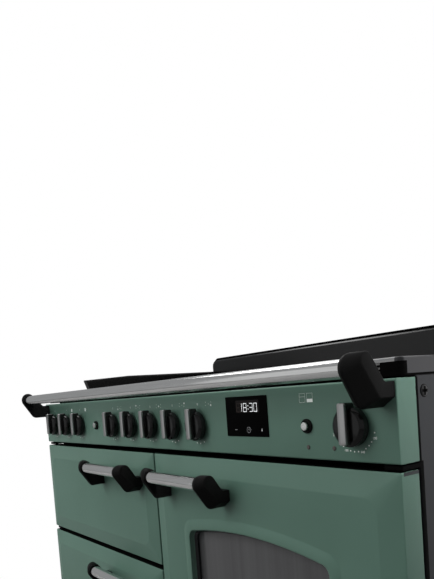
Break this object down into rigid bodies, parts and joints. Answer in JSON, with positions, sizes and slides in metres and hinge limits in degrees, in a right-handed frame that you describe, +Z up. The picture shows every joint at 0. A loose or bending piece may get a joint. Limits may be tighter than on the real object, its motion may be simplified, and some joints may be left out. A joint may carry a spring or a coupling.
{
  "type": "range cooker",
  "caption": "Free-standing induction range cooker with side-hung oven and grill doors, storage drawer, rotary controls, clock panel, handrail and vented rear upstand.",
  "frame": {"origin": "centre of the bounding box on the floor", "axes": "+Z up, +X to the right seen from the front, +Y from the front to the back"},
  "size_m": [1.1, 0.676, 0.988],
  "materials": {
    "green_enamel": "satin sage green enamel",
    "satin_chrome": "satin",
    "black_plastic": "fine satin",
    "button_metal": "satin",
    "clock_glass": "polished",
    "lens": "polished",
    "trim_steel": "brushed",
    "black_glass": "polished",
    "coil_copper": "wound wire",
    "black_paint": "satin",
    "grey_paint": "satin",
    "zinc_sheet": "zinc coated",
    "feet_steel": "zinc coated",
    "oven_enamel": "gloss enamel",
    "fan_steel": "plain",
    "element_steel": "dull",
    "wire_chrome": "bright",
    "seal_rubber": "matt",
    "switch_plastic": "matt",
    "liner_steel": "gloss enamel",
    "door_glass": "tinted"
  },
  "bodies": {
    "cabinet": {"side_panels": "grey_paint", "back_panel": "zinc_sheet", "base_pan": "zinc_sheet", "plinth": "black_paint", "levelling_feet": "feet_steel", "front_frame": "zinc_sheet", "hob_trim": "trim_steel", "hob_glass": "black_glass", "induction_coils": "coil_copper", "rear_upstand": "black_paint", "side_wings": "black_paint", "control_panel": "green_enamel", "clock_display": "clock_glass", "indicator_lenses": "lens", "button_bezels": "black_plastic", "switch_bodies": "switch_plastic", "handrail": "satin_chrome", "handrail_brackets": "black_plastic", "left_oven_liner": "oven_enamel", "right_oven_liner": "oven_enamel", "grill_liner": "oven_enamel", "fan_covers": "oven_enamel", "fan_motors": "fan_steel", "heating_elements": "element_steel", "shelf_supports": "wire_chrome", "oven_shelves": "wire_chrome", "door_seals": "seal_rubber", "hinge_blocks": "zinc_sheet", "drawer_runners": "zinc_sheet"},
    "grill_door": {"grill_door_skin": "green_enamel", "grill_door_liner": "liner_steel", "grill_door_handle_bar": "satin_chrome", "grill_door_handle_brackets": "black_plastic"},
    "left_oven_door": {"left_door_skin": "green_enamel", "left_door_liner": "liner_steel", "left_door_glass": "door_glass", "left_door_handle_bar": "satin_chrome", "left_door_handle_brackets": "black_plastic"},
    "right_oven_door": {"right_door_skin": "green_enamel", "right_door_liner": "liner_steel", "right_door_glass": "door_glass", "right_door_handle_bar": "satin_chrome", "right_door_handle_brackets": "black_plastic"},
    "storage_drawer": {"drawer_front": "green_enamel", "drawer_box": "zinc_sheet", "drawer_handle_bar": "satin_chrome", "drawer_handle_brackets": "black_plastic"},
    "knob_1_body": {"knob_1": "black_plastic"},
    "knob_2_body": {"knob_2": "black_plastic"},
    "knob_3_body": {"knob_3": "black_plastic"},
    "knob_4_body": {"knob_4": "black_plastic"},
    "knob_5_body": {"knob_5": "black_plastic"},
    "knob_6_body": {"knob_6": "black_plastic"},
    "knob_7_body": {"knob_7": "black_plastic"},
    "knob_8_body": {"knob_8": "black_plastic"},
    "knob_9_body": {"knob_9": "black_plastic"},
    "left_button_body": {"left_button": "button_metal"},
    "right_button_body": {"right_button": "button_metal"},
    "left_fan_body": {"left_fan": "fan_steel"},
    "right_fan_body": {"right_fan": "fan_steel"}
  },
  "joints": [
    {"name": "knob_1_turn", "type": "hinge", "parent": "cabinet", "child": "knob_1_body", "pos_m": [-0.4867, -0.27, 0.827], "axis": [0, 1, 0], "range_deg": [0, 270]},
    {"name": "knob_2_turn", "type": "hinge", "parent": "cabinet", "child": "knob_2_body", "pos_m": [-0.4082, -0.27, 0.827], "axis": [0, 1, 0], "range_deg": [0, 270]},
    {"name": "knob_3_turn", "type": "hinge", "parent": "cabinet", "child": "knob_3_body", "pos_m": [-0.3297, -0.27, 0.827], "axis": [0, 1, 0], "range_deg": [0, 270]},
    {"name": "knob_4_turn", "type": "hinge", "parent": "cabinet", "child": "knob_4_body", "pos_m": [-0.157, -0.27, 0.827], "axis": [0, 1, 0], "range_deg": [0, 270]},
    {"name": "knob_5_turn", "type": "hinge", "parent": "cabinet", "child": "knob_5_body", "pos_m": [-0.0785, -0.27, 0.827], "axis": [0, 1, 0], "range_deg": [0, 270]},
    {"name": "knob_6_turn", "type": "hinge", "parent": "cabinet", "child": "knob_6_body", "pos_m": [0, -0.27, 0.827], "axis": [0, 1, 0], "range_deg": [0, 270]},
    {"name": "knob_7_turn", "type": "hinge", "parent": "cabinet", "child": "knob_7_body", "pos_m": [0.0785, -0.27, 0.827], "axis": [0, 1, 0], "range_deg": [0, 270]},
    {"name": "knob_8_turn", "type": "hinge", "parent": "cabinet", "child": "knob_8_body", "pos_m": [0.157, -0.27, 0.827], "axis": [0, 1, 0], "range_deg": [0, 270]},
    {"name": "knob_9_turn", "type": "hinge", "parent": "cabinet", "child": "knob_9_body", "pos_m": [0.4867, -0.27, 0.827], "axis": [0, 1, 0], "range_deg": [0, 270]},
    {"name": "left_button_press", "type": "slide", "parent": "cabinet", "child": "left_button_body", "axis": [0, 1, 0], "range_m": [0, 0.003], "stiffness_N_per_m": 400},
    {"name": "right_button_press", "type": "slide", "parent": "cabinet", "child": "right_button_body", "axis": [0, 1, 0], "range_m": [0, 0.003], "stiffness_N_per_m": 400},
    {"name": "grill_door_swing", "type": "hinge", "parent": "cabinet", "child": "grill_door", "pos_m": [-0.536, -0.2535, 0.5], "axis": [0, 0, -1], "range_deg": [0, 110]},
    {"name": "left_oven_door_swing", "type": "hinge", "parent": "cabinet", "child": "left_oven_door", "pos_m": [-0.536, -0.2535, 0.5], "axis": [0, 0, -1], "range_deg": [0, 110]},
    {"name": "right_oven_door_swing", "type": "hinge", "parent": "cabinet", "child": "right_oven_door", "pos_m": [0.536, -0.2535, 0.5], "axis": [0, 0, 1], "range_deg": [0, 110]},
    {"name": "drawer_slide", "type": "slide", "parent": "cabinet", "child": "storage_drawer", "axis": [0, -1, 0], "range_m": [0, 0.38]},
    {"name": "left_fan_spin", "type": "hinge", "parent": "cabinet", "child": "left_fan_body", "pos_m": [-0.276, 0.2365, 0.327], "axis": [0, 1, 0], "continuous": true},
    {"name": "right_fan_spin", "type": "hinge", "parent": "cabinet", "child": "right_fan_body", "pos_m": [0.276, 0.2365, 0.552], "axis": [0, 1, 0], "continuous": true}
  ]
}
